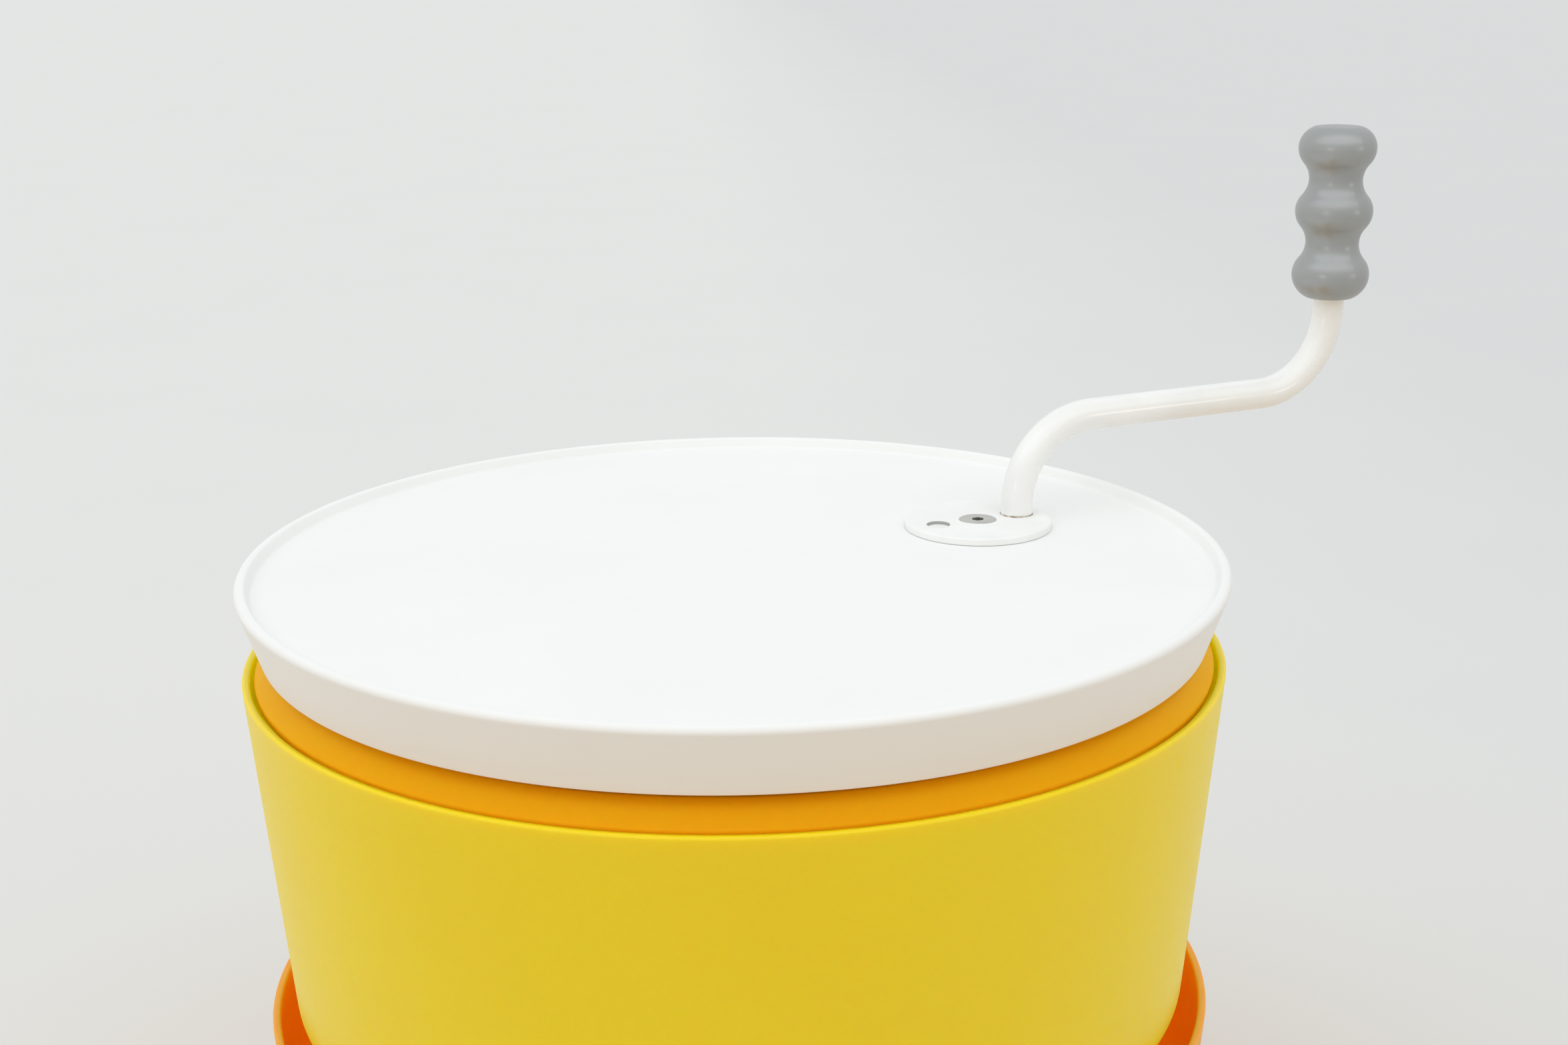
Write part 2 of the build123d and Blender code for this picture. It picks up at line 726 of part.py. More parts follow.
def make_grip():
    """Turned handle with three bulges and two waists, closed by a low dome."""
    middle_radius = (grip_bulge_radius + grip_waist_radius) / 2
    end_top = grip_top - grip_end_rise
    low_bulge = (grip_bulge_radius, grip_bulges[0])
    top_bulge = (grip_bulge_radius, grip_bulges[-1])
    outline = [
        Line((grip_bore, grip_bottom), (grip_end_radius, grip_bottom)),
        TangentArc(low_bulge, (grip_end_radius, grip_bottom), tangent=(0, -1)),
    ]
    for below, above in zip(grip_bulges, grip_bulges[1:]):
        quarter = (above - below) / 4
        leave = (middle_radius, below + quarter)
        waist = (grip_waist_radius, below + 2 * quarter)
        meet = (middle_radius, above - quarter)
        outline.append(TangentArc((grip_bulge_radius, below), leave, tangent=(0, 1)))
        outline.append(ThreePointArc(leave, waist, meet))
        outline.append(TangentArc((grip_bulge_radius, above), meet, tangent=(0, -1)))
    outline += [
        TangentArc(top_bulge, (grip_end_radius, end_top), tangent=(0, 1)),
        ThreePointArc((grip_end_radius, end_top), (0, grip_top), (-grip_end_radius, end_top)).trim(0, 0.5),
        Line((0, grip_top), (0, grip_bore_top)),
        Line((0, grip_bore_top), (grip_bore, grip_bore_top)),
        Line((grip_bore, grip_bore_top), (grip_bore, grip_bottom)),
    ]
    return grip_axis * revolve(Plane.XZ * make_face(outline), Axis.Z)


def make_all():
    """Every node of the spinner, by name."""
    return {
        "base_pad": make_base_pad(),
        "collector_tub": make_collector_tub(),
        "pedestal": make_pedestal(),
        "pedestal_screws": make_pedestal_screws(),
        "splash_tub": make_splash_tub(),
        "floor_socket": make_floor_socket(),
        "socket_screws": make_socket_screws(),
        "post": make_post(),
        "key_pin": make_key_pin(),
        "post_washer": make_post_washer(),
        "post_nut": make_post_nut(),
        "bearing_sleeve": make_bearing_sleeve(),
        "thrust_washer": make_thrust_washer(),
        "lower_bush": make_bush(collar_top + thrust_washer, lower_bush_top),
        "upper_bush": make_bush(*upper_bush_span),
        "basket": make_basket(),
        "rim_ring": make_rim_ring(),
        "basket_hub": make_basket_hub(),
        "hub_backing_ring": make_hub_backing_ring(),
        "hub_screws": make_hub_screws(),
        "drive_pinion": make_drive_pinion(),
        "pinion_screws": make_pinion_screws(),
        "lid_shell": make_lid_shell(),
        "lid_hub": make_lid_hub(),
        "lid_hub_screws": make_lid_hub_screws(),
        "gear_cover": make_gear_cover(),
        "cover_screws": make_cover_screws(),
        "crank_bush": make_crank_bush(),
        "idler_axle": make_idler_axle(),
        "idler_washers": make_idler_washers(),
        "idler_gear": make_idler_gear(),
        "crank_gear": make_crank_gear(),
        "crank_disc": make_crank_disc(),
        "crank_screw": make_crank_screw(),
        "drive_dowel": make_drive_dowel(),
        "crank_rod": make_crank_rod(),
        "grip_clip": make_grip_clip(),
        "grip_sleeve": make_grip_sleeve(),
        "grip": make_grip(),
    }


os.makedirs("parts", exist_ok=True)
for name, shape in make_all().items():
    pieces = shape if isinstance(shape, list) else [shape]
    solids = [solid for piece in pieces for solid in piece.solids()]
    export_step(Compound(children=solids), f"parts/{name}.step")
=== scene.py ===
import math

import bmesh
import bpy
from mathutils import Matrix, Vector


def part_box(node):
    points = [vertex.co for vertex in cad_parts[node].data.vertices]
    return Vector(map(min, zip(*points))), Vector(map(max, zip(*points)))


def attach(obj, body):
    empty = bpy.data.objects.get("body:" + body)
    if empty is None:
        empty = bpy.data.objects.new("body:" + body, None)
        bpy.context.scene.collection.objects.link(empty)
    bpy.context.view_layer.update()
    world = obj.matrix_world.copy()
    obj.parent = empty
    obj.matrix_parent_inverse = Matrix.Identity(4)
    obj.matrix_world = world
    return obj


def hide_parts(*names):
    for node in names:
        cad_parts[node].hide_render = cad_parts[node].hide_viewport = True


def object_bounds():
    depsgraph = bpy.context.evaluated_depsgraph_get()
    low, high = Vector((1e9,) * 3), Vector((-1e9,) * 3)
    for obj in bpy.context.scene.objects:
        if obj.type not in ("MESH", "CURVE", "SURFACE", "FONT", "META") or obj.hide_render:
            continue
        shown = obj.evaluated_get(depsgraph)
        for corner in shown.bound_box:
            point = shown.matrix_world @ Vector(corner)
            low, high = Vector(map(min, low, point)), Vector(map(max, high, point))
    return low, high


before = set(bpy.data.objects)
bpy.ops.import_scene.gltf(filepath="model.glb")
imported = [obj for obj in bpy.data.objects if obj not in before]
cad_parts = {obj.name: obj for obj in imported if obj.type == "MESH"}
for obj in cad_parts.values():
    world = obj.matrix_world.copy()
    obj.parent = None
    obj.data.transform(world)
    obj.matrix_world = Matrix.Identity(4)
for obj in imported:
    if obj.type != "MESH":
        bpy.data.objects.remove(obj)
cad_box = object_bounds()

# Base pad. The soft grey rubber disc that the spinner stands on, moulded with a rounded lower edge and with
# rings of low ribs on its underside that grip the table. It is glued under the collector's floor.
mm = 0.001
pad_low, pad_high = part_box("base_pad")
pad_radius = pad_high.x
pad_edge = 1.3 * mm
pad_segments = 192
rib_pitch = 12 * mm
groove_width = 4 * mm
groove_depth = 0.9 * mm
arc_step = math.radians(8)
run_margin = 0.7 * mm
crease_angle = math.radians(32)
no_length = 1e-6
rubber_dark = (0.040, 0.040, 0.043, 1)
rubber_pale = (0.062, 0.062, 0.066, 1)
rubber_roughness = (0.62, 0.82)
bloom_span = (0.35, 0.7)
pebble_depth = 0.12 * mm
noise_span = (0.3, 0.7)


def arc_points(centre, first, last, step=arc_step):
    """Points on the arc about a centre between two arms from it."""
    sweep = first.angle(last)
    count = max(2, math.ceil(sweep / step))
    shares = [index / count for index in range(count + 1)]
    return [
        centre + (first * math.sin((1 - share) * sweep) + last * math.sin(share * sweep)) / math.sin(sweep)
        for share in shares
    ]


def rounded_outline(corners):
    """Points round a closed outline of (radius, height, rounding) corners, with each rounding as an arc."""
    points = []
    for index, (radius, height, rounding) in enumerate(corners):
        corner = Vector((radius, height))
        if rounding == 0:
            points.append(corner)
            continue
        before = (Vector(corners[index - 1][:2]) - corner).normalized()
        after = (Vector(corners[(index + 1) % len(corners)][:2]) - corner).normalized()
        half = before.angle(after) / 2
        centre = corner + (before + after).normalized() * rounding / math.sin(half)
        first = corner + before * rounding / math.tan(half) - centre
        last = corner + after * rounding / math.tan(half) - centre
        points += arc_points(centre, first, last)
    return points


def held_runs(points, margin=run_margin):
    """The same outline with a point near both ends of each long run, so that flat faces shade flat."""
    held = []
    for near, far in zip(points, points[1:] + points[:1]):
        held.append(near)
        run = far - near
        if run.length > 4 * margin:
            held.append(near + run.normalized() * margin)
            held.append(far - run.normalized() * margin)
    return held


def closed_mesh(name, shape):
    """Turns a working shape into a mesh with smooth curves and sharp creases."""
    bmesh.ops.recalc_face_normals(shape, faces=shape.faces)
    mesh = bpy.data.meshes.new(name)
    shape.to_mesh(mesh)
    shape.free()
    mesh.shade_smooth()
    mesh.set_sharp_from_angle(angle=crease_angle)
    return mesh


def turned_mesh(name, points, segments, axis=(0, 0)):
    """Mesh turned about an upright axis from a closed outline of (radius, height) points."""
    shape = bmesh.new()
    turns = [2 * math.pi * index / segments for index in range(segments)]
    rings = []
    for radius, height in points:
        if radius < no_length:
            rings.append([shape.verts.new((*axis, height))] * segments)
            continue
        rings.append([
            shape.verts.new((axis[0] + radius * math.cos(turn), axis[1] + radius * math.sin(turn), height))
            for turn in turns
        ])
    for near, far in zip(rings, rings[1:] + rings[:1]):
        for index in range(segments):
            corners = (near[index - 1], near[index], far[index], far[index - 1])
            face = list(dict.fromkeys(corners))
            if len(face) > 2:
                shape.faces.new(face)
    return closed_mesh(name, shape)


def add_piece(name, mesh, material):
    """Puts a mesh into the scene as a piece with one material."""
    piece = bpy.data.objects.new(name, mesh)
    mesh.materials.append(material)
    bpy.context.scene.collection.objects.link(piece)
    return piece


def new_material(name):
    """An empty node material and its main shader."""
    material = bpy.data.materials.new(name)
    material.use_nodes = True
    return material, material.node_tree.nodes["Principled BSDF"]


def add_node(material, kind, inputs, **settings):
    """Adds a shader node, with its settings and with each input set or linked."""
    node = material.node_tree.nodes.new(kind)
    for key, value in settings.items():
        setattr(node, key, value)
    for key, value in inputs.items():
        if isinstance(value, bpy.types.NodeSocket):
            material.node_tree.links.new(value, node.inputs[key])
        else:
            node.inputs[key].default_value = value
    return node


def own_place(material):
    """A place in the piece's own space."""
    return add_node(material, "ShaderNodeTexCoord", {}).outputs["Object"]


def noise(material, scale, detail=2, stretch=(1, 1, 1)):
    """Noise in the piece's own space, with features of about 1 / scale metres, squeezed by stretch."""
    place = own_place(material)
    if stretch != (1, 1, 1):
        place = add_node(material, "ShaderNodeMapping", {"Vector": place, "Scale": stretch}).outputs["Vector"]
    inputs = {"Vector": place, "Scale": scale, "Detail": detail}
    return add_node(material, "ShaderNodeTexNoise", inputs).outputs["Fac"]


def ramp(material, factor, low, high, low_colour, high_colour):
    """Blends two colours as a factor goes from low to high."""
    node = add_node(material, "ShaderNodeValToRGB", {"Fac": factor})
    start, end = node.color_ramp.elements
    start.position, end.position = low, high
    start.color, end.color = low_colour, high_colour
    return node.outputs["Color"]


def spread(material, factor, low, high, low_value, high_value):
    """Maps a factor's range to a range of values."""
    inputs = {"Value": factor, "From Min": low, "From Max": high, "To Min": low_value, "To Max": high_value}
    return add_node(material, "ShaderNodeMapRange", inputs).outputs["Result"]


def relief(material, layers):
    """Stacks bump layers of (height, depth in metres) into one normal."""
    normal = None
    for height, depth in layers:
        inputs = {"Height": height, "Distance": depth}
        if normal:
            inputs["Normal"] = normal
        normal = add_node(material, "ShaderNodeBump", inputs).outputs["Normal"]
    return normal


def join(material, source, shader, socket):
    """Links a worked-out value to a shader's socket."""
    material.node_tree.links.new(source, shader.inputs[socket])


def soft_rubber(name):
    """Dull rubber with a fine pebbled skin and patches of bloom."""
    material, shader = new_material(name)
    bloom = noise(material, scale=30, detail=4)
    pebble = noise(material, scale=1400)
    join(material, ramp(material, bloom, *bloom_span, rubber_dark, rubber_pale), shader, "Base Color")
    join(material, spread(material, bloom, *noise_span, *rubber_roughness), shader, "Roughness")
    join(material, relief(material, [(pebble, pebble_depth)]), shader, "Normal")
    return material


pad_corners = [(0, pad_high.z, 0), (pad_radius, pad_high.z, 0), (pad_radius, pad_low.z, pad_edge)]
groove_count = int(pad_radius / rib_pitch) - 1
groove_roof = pad_low.z + groove_depth
for groove in range(groove_count, 0, -1):
    inner = groove * rib_pitch
    outer = inner + groove_width
    pad_corners += [(outer, pad_low.z, 0), (outer, groove_roof, 0)]
    pad_corners += [(inner, groove_roof, 0), (inner, pad_low.z, 0)]
pad_corners.append((0, pad_low.z, 0))
pad_rubber = soft_rubber("pad_rubber")
pad_mesh = turned_mesh("pad", held_runs(rounded_outline(pad_corners)), pad_segments)
pad = add_piece("pad", pad_mesh, pad_rubber)
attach(pad, "collector")
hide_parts("base_pad")

# Collector tub. The lower, orange tub that catches the water, moulded in one piece from satin plastic with
# a slight taper, a rounded corner at the floor and a rounded rim. Only the top of it shows in the photo.
tub_segments = 288
tub_taper = 0.0872
tub_corner = 12 * mm
tub_edge = 1.3 * mm
collector_low, collector_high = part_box("collector_tub")
collector_rim_radius = 208 * mm
collector_wall = 3.5 * mm
collector_floor = 4 * mm
plastic_tones = (0.985, 1.01)
plastic_index = 1.46
scuff_span = (0.62, 0.72)
scuff_roughness = 0.10
draw_roughness = 0.03
draw_depth = 0.012 * mm
grain_depth = 0.030 * mm
dense_scale = 1 * mm
glow_scale = 12 * mm
orange = (0.985, 0.37, 0.02)
orange_roughness = 0.42
orange_gloss = 0.4
orange_reach = (7, 1.1, 0.06)


def tub_corners(rim_radius, rim, bottom, wall, floor, corner, edge):
    """Corners of a plain tapered tub, from the middle of its underside round to the middle of its floor."""
    foot_radius = rim_radius - tub_taper * (rim - bottom)
    face_radius = rim_radius - wall - tub_taper * (rim - bottom - floor)
    return [
        (0, bottom, 0),
        (foot_radius, bottom, corner),
        (rim_radius, rim, edge),
        (rim_radius - wall, rim, edge),
        (face_radius, bottom + floor, corner - wall),
        (0, bottom + floor, 0),
    ]


def tinted(colour, share):
    """A colour made darker or lighter by a share of itself."""
    return (*(min(1, value * share) for value in colour), 1)


def tones(material, factor, span, colour, shares):
    """A colour that drifts between two shares of itself as a factor crosses a span."""
    low_colour, high_colour = (tinted(colour, share) for share in shares)
    return ramp(material, factor, *span, low_colour, high_colour)


def reckon(material, operation, *values):
    """Works out a number from numbers."""
    return add_node(material, "ShaderNodeMath", dict(enumerate(values)), operation=operation).outputs["Value"]


def reckon_vector(material, operation, result, *values):
    """Works out a vector, or a number, from vectors."""
    node = add_node(material, "ShaderNodeVectorMath", dict(enumerate(values)), operation=operation)
    return node.outputs[result]


def moulded_plastic(name, colour, roughness, gloss, reach=None):
    """Satin moulded plastic with faint flow clouds, a fine spark-eroded grain, draw marks up the wall and
    scuffs. Reach is how far red, green and blue light spread in plastic that lets light through."""
    material, shader = new_material(name)
    clouds = noise(material, scale=11, detail=3)
    grain = noise(material, scale=1700)
    draw_marks = noise(material, scale=420, stretch=(1, 1, 0.02))
    scuffs = noise(material, scale=260, detail=3, stretch=(0.06, 1, 0.5))
    scuffed = spread(material, scuffs, *scuff_span, roughness, roughness + scuff_roughness)
    drawn = spread(material, draw_marks, *noise_span, -draw_roughness, draw_roughness)
    join(material, tones(material, clouds, noise_span, colour, plastic_tones), shader, "Base Color")
    join(material, reckon(material, "ADD", scuffed, drawn), shader, "Roughness")
    join(material, relief(material, [(draw_marks, draw_depth), (grain, grain_depth)]), shader, "Normal")
    shader.inputs["IOR"].default_value = plastic_index
    shader.inputs["Specular IOR Level"].default_value = gloss
    if reach:
        shader.inputs["Subsurface Weight"].default_value = 1.0
        shader.inputs["Subsurface Scale"].default_value = dense_scale
        shader.inputs["Subsurface Radius"].default_value = reach
    return material


def level_radius(material, centre=(0, 0)):
    """Distance of a place from an upright axis."""
    arm = reckon_vector(material, "SUBTRACT", "Vector", own_place(material), (*centre, 0))
    level_arm = reckon_vector(material, "MULTIPLY", "Vector", arm, (1, 1, 0))
    return reckon_vector(material, "LENGTH", "Value", level_arm)


def place_height(material):
    """Height of a place in the piece's own space."""
    return add_node(material, "ShaderNodeSeparateXYZ", {"Vector": own_place(material)}).outputs["Z"]


def glow_inside(material, rim_radius, rim, wall):
    """Lets daylight shine through a tub's wall to its inside, and keeps its outside dense."""
    height = place_height(material)
    straightened = reckon(material, "MULTIPLY_ADD", height, -tub_taper, level_radius(material))
    middle = rim_radius - tub_taper * rim - wall / 2
    inside = reckon(material, "LESS_THAN", straightened, middle)
    shader = material.node_tree.nodes["Principled BSDF"]
    join(material, spread(material, inside, 0, 1, dense_scale, glow_scale), shader, "Subsurface Scale")


tub_plastic = moulded_plastic("tub_plastic", orange, orange_roughness, orange_gloss, orange_reach)
glow_inside(tub_plastic, collector_rim_radius, collector_high.z, collector_wall)
collector_corners = tub_corners(
    collector_rim_radius, collector_high.z, collector_low.z,
    collector_wall, collector_floor, tub_corner, tub_edge)
collector_mesh = turned_mesh("collector", held_runs(rounded_outline(collector_corners)), tub_segments)
collector = add_piece("collector", collector_mesh, tub_plastic)
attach(collector, "collector")
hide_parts("collector_tub")

# Pedestal. The hollow orange stand in the middle of the collector, moulded with a flange that is screwed
# down and a hexagonal key on top that the splash tub drops over. Its screws are bright steel.
steel_grey = (0.61, 0.61, 0.585)
steel_tones = (0.86, 1.06)
steel_roughness = (0.22, 0.38)
patch_span = (0.3, 0.75)
lathe_depth = 0.010 * mm
scratch_depth = 0.006 * mm


def dress(node, material):
    """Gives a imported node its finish."""
    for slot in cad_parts[node].material_slots:
        slot.material = material


def turned_steel(name):
    """Bright turned steel with fine lathe rings, darker patches of handling and small scratches."""
    material, shader = new_material(name)
    rings = noise(material, scale=60, stretch=(1, 1, 45))
    patches = noise(material, scale=90, detail=3)
    scratches = noise(material, scale=900, stretch=(0.05, 1, 1))
    join(material, tones(material, patches, patch_span, steel_grey, steel_tones), shader, "Base Color")
    join(material, spread(material, rings, *noise_span, *steel_roughness), shader, "Roughness")
    join(material, relief(material, [(rings, lathe_depth), (scratches, scratch_depth)]), shader, "Normal")
    shader.inputs["Metallic"].default_value = 1.0
    return material


bright_steel = turned_steel("bright_steel")
dress("pedestal", moulded_plastic("stand_plastic", orange, orange_roughness, orange_gloss, orange_reach))
dress("pedestal_screws", bright_steel)

# Splash tub. The yellow tub that stands in the collector's mouth and stays still while the basket spins. It
# is moulded from satin plastic, with a raised middle for the post and radial slots that let water through.
splash_low, splash_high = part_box("splash_tub")
splash_rim_radius = 209.5 * mm
splash_wall = 3.4 * mm
splash_floor = 3.5 * mm
splash_face = splash_low.z + splash_floor
raised_radius = 60 * mm
raised_height = 13 * mm
raised_draft = 2 * mm
raised_under_rounding = 2 * mm
raised_foot_rounding = 3 * mm
raised_top_rounding = 4 * mm
post_hole = 6 * mm
drain_count = 24
drain_width = 3.6 * mm
drain_reach = (142 * mm, 178 * mm)
slot_end_steps = 4
slot_end_share = 0.1
floor_slack = 0.1 * mm
yellow = (0.97, 0.70, 0.004)
yellow_reach = (3, 2, 0.15)


def slot_stations(low, high, half):
    """Places along a slot, closer together in its round ends."""
    turns = [math.pi / 2 * step / slot_end_steps for step in range(slot_end_steps + 1)]
    insets = [half * (1 - math.cos(turn)) for turn in turns]
    return [low + inset for inset in insets] + [high - inset for inset in reversed(insets)]


def slot_half_width(place, low, high, half):
    """Half the width of a round-ended slot at a place along it, or None beside it."""
    inset = min(place - low, high - place)
    if inset < -no_length:
        return None
    lean = min(1, max(0, 1 - inset / half))
    return half * max(math.sqrt(1 - lean**2), slot_end_share)


def slotted_mesh(name, points, half_width, slots, columns):
    """Turned mesh with slots through its walls, spread round the axis. At each slot three of the columns are
    its left edge, middle and right edge, and the slot's sides join the outer wall to the inner one."""
    shape = bmesh.new()
    count = slots * columns
    step = 2 * math.pi / count
    widths = [half_width(point) for point in points]
    rows = []
    for (radius, height), width in zip(points, widths):
        row = []
        for index in range(count):
            place = (index + 1) % columns - 1
            turn = index * step
            if width and abs(place) == 1:
                turn += place * (math.asin(width / radius) - step)
            row.append(shape.verts.new((radius * math.cos(turn), radius * math.sin(turn), height)))
        rows.append(row)
    bands = []
    for number, row in enumerate(rows):
        inside = widths[number - 1] and widths[number]
        if widths[number] and not inside:
            bands.append([])
        if widths[number]:
            bands[-1].append(row)
        for index in range(count):
            if not inside or index % columns > 1:
                before = rows[number - 1]
                shape.faces.new((before[index - 1], before[index], row[index], row[index - 1]))
    middles = range(0, count, columns)
    for band, partner in zip(bands[:len(bands) // 2], reversed(bands)):
        pairs = list(zip(band, reversed(partner)))
        for (outer, inner), (next_outer, next_inner) in zip(pairs, pairs[1:]):
            for edge in [middle + side for middle in middles for side in (-1, 1)]:
                shape.faces.new((outer[edge], next_outer[edge], next_inner[edge], inner[edge]))
        for outer, inner in (pairs[0], pairs[-1]):
            for edge in [middle + side for middle in middles for side in (-1, 0)]:
                shape.faces.new((outer[edge], outer[edge + 1], inner[edge + 1], inner[edge]))
    return closed_mesh(name, shape)


def drain_half_width(point):
    """Half width of a drain slot at a point of the tub's outline."""
    radius, height = point
    on_floor = height < splash_face + floor_slack
    return slot_half_width(radius, *drain_reach, drain_width / 2) if on_floor else None


yellow_plastic = moulded_plastic("yellow_plastic", yellow, roughness=0.38, gloss=0.40, reach=yellow_reach)
glow_inside(yellow_plastic, splash_rim_radius, splash_high.z, splash_wall)
splash_sides = tub_corners(
    splash_rim_radius, splash_high.z, splash_low.z,
    splash_wall, splash_floor, tub_corner, tub_edge)[1:-1]
raised_under = splash_low.z + raised_height
raised_face = raised_under + splash_floor
drain_stations = slot_stations(*drain_reach, drain_width / 2)
splash_corners = [
    (post_hole, raised_under, 0),
    (raised_radius - raised_draft, raised_under, raised_under_rounding),
    (raised_radius, splash_low.z, raised_under_rounding),
    *[(radius, splash_low.z, 0) for radius in drain_stations],
    *splash_sides,
    *[(radius, splash_face, 0) for radius in reversed(drain_stations)],
    (raised_radius + splash_wall, splash_face, raised_foot_rounding),
    (raised_radius + splash_wall - raised_draft, raised_face, raised_top_rounding),
    (post_hole, raised_face, 0),
]
splash_points = held_runs(rounded_outline(splash_corners))
drain_columns = tub_segments // drain_count
splash_mesh = slotted_mesh("splash", splash_points, drain_half_width, drain_count, drain_columns)
splash = add_piece("splash", splash_mesh, yellow_plastic)
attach(splash, "splash_unit")
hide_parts("splash_tub")

# Socket and post. Under the splash tub a pale plastic plate with a hexagonal hole fits the pedestal's key,
# held by four steel screws. On the tub stands a turned steel post, clamped by a washer and a nut and crossed
# by a pin.
acetal_white = (0.74, 0.73, 0.67)
acetal_tones = (0.95, 1.03)
acetal_roughness = (0.34, 0.50)
acetal_glow = 0.15
acetal_scale = 2 * mm
tool_mark_depth = 0.015 * mm


def machined_acetal(name):
    """Waxy machined plastic with fine tool marks."""
    material, shader = new_material(name)
    clouds = noise(material, scale=40, detail=3)
    tool_marks = noise(material, scale=120, stretch=(1, 1, 12))
    join(material, tones(material, clouds, noise_span, acetal_white, acetal_tones), shader, "Base Color")
    join(material, spread(material, tool_marks, *noise_span, *acetal_roughness), shader, "Roughness")
    join(material, relief(material, [(tool_marks, tool_mark_depth)]), shader, "Normal")
    shader.inputs["Subsurface Weight"].default_value = acetal_glow
    shader.inputs["Subsurface Scale"].default_value = acetal_scale
    return material


acetal = machined_acetal("acetal")
dress("floor_socket", acetal)
for node in ("socket_screws", "post", "key_pin", "post_washer", "post_nut"):
    dress(node, bright_steel)

# Bearing. A turned steel sleeve slides over the post and carries the basket on a plastic thrust washer. Its
# hexagonal end keys into the lid.
dress("bearing_sleeve", bright_steel)
dress("thrust_washer", acetal)

# Basket. The amber basket that spins, moulded from translucent satin plastic, with two rows of slots in its
# wall and one row in its floor.
basket_low, basket_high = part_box("basket")
basket_rim_radius = 194 * mm
basket_wall = 2.6 * mm
basket_floor = 3 * mm
basket_face = basket_low.z + basket_floor
basket_corner = 10 * mm
basket_edge = 1 * mm
basket_bore = 20 * mm
slot_count = 54
slot_columns = 6
slot_width = 3.2 * mm
wall_slot_rows = ((199 * mm, 241 * mm), (249 * mm, 291 * mm))
floor_slot_reach = (84 * mm, 158 * mm)
amber = (0.97, 0.42, 0.002)
amber_reach = (3, 1.5, 0.08)


def wall_point(height, thickness):
    """Corner on the basket's tapered wall, outside it or one thickness in."""
    return basket_rim_radius - thickness - tub_taper * (basket_high.z - height), height, 0


def basket_half_width(point):
    """Half width of a slot at a point of the basket's outline."""
    radius, height = point
    if height < basket_face + floor_slack:
        return slot_half_width(radius, *floor_slot_reach, slot_width / 2)
    widths = [slot_half_width(height, *row, slot_width / 2) for row in wall_slot_rows]
    return widths[0] or widths[1]


amber_plastic = moulded_plastic("amber_plastic", amber, roughness=0.50, gloss=0.06, reach=amber_reach)
outer_foot, outer_rim, inner_rim, inner_foot = tub_corners(
    basket_rim_radius, basket_high.z, basket_low.z,
    basket_wall, basket_floor, basket_corner, basket_edge)[1:-1]
wall_stations = [height for row in wall_slot_rows for height in slot_stations(*row, slot_width / 2)]
floor_stations = slot_stations(*floor_slot_reach, slot_width / 2)
basket_corners = [
    (basket_bore, basket_low.z, 0),
    *[(radius, basket_low.z, 0) for radius in floor_stations],
    outer_foot,
    *[wall_point(height, 0) for height in wall_stations],
    outer_rim,
    inner_rim,
    *[wall_point(height, basket_wall) for height in reversed(wall_stations)],
    inner_foot,
    *[(radius, basket_face, 0) for radius in reversed(floor_stations)],
    (basket_bore, basket_face, 0),
]
basket_points = held_runs(rounded_outline(basket_corners))
basket_mesh = slotted_mesh("basket_shell", basket_points, basket_half_width, slot_count, slot_columns)
basket = add_piece("basket_shell", basket_mesh, amber_plastic)
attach(basket, "basket_unit")
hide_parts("basket")

# Rim ring. A turned-down ring of the same amber plastic, glued round the basket's rim by its short collar.
# Its slope is what shows in the gap under the lid, and its hem hangs inside the splash tub's rim.
ring_low, ring_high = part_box("rim_ring")
ring_radius = ring_high.x
ring_shoulder = 311.6 * mm
ring_run = 1.04
ring_width = 3 * mm
ring_rounding = 2 * mm
ring_edge = 0.8 * mm
hem_width = 2.2 * mm
hem_radius = ring_radius - hem_width
collar_bottom = 315 * mm
collar_width = 2 * mm
collar_radius = wall_point(collar_bottom, 0)[0] + collar_width


def slope_height(radius):
    """Height of the ring's sloping face at a radius."""
    return ring_shoulder + (ring_radius - radius) / ring_run


ring_corners = [
    wall_point(collar_bottom, 0),
    (collar_radius, collar_bottom, ring_edge),
    (collar_radius, slope_height(collar_radius + ring_width), ring_edge),
    (hem_radius, slope_height(hem_radius + ring_width), ring_edge),
    (hem_radius, ring_low.z, ring_edge),
    (ring_radius, ring_low.z, ring_edge),
    (ring_radius, ring_shoulder, ring_rounding),
    (ring_radius - ring_run * (ring_high.z - ring_shoulder), ring_high.z, ring_edge),
    wall_point(ring_high.z, 0),
]
ring_mesh = turned_mesh("basket_rim", held_runs(rounded_outline(ring_corners)), tub_segments)
ring = add_piece("basket_rim", ring_mesh, amber_plastic)
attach(ring, "basket_unit")
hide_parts("rim_ring")

# Basket hub. A white conical tube in the middle of the basket holds the two plastic bushes and the drive
# pinion. It is screwed through the basket's floor to a steel ring.
white = (0.90, 0.90, 0.892)
white_plastic = moulded_plastic("white_plastic", white, roughness=0.55, gloss=0.2)
dress("basket_hub", white_plastic)
for node in ("lower_bush", "upper_bush", "drive_pinion"):
    dress(node, acetal)
for node in ("hub_backing_ring", "hub_screws", "pinion_screws"):
    dress(node, bright_steel)

# Gear train. The crank gear, the double idler and its axle lie between the lid and the flat cover that closes
# it from below. The gears, their bush and washers and the tube that seats the lid are machined plastic, the
# axle and the screws steel, and the cover white moulded plastic.
for node in ("crank_gear", "crank_bush", "idler_gear", "idler_washers", "lid_hub"):
    dress(node, acetal)
for node in ("idler_axle", "lid_hub_screws", "cover_screws"):
    dress(node, bright_steel)
dress("gear_cover", white_plastic)

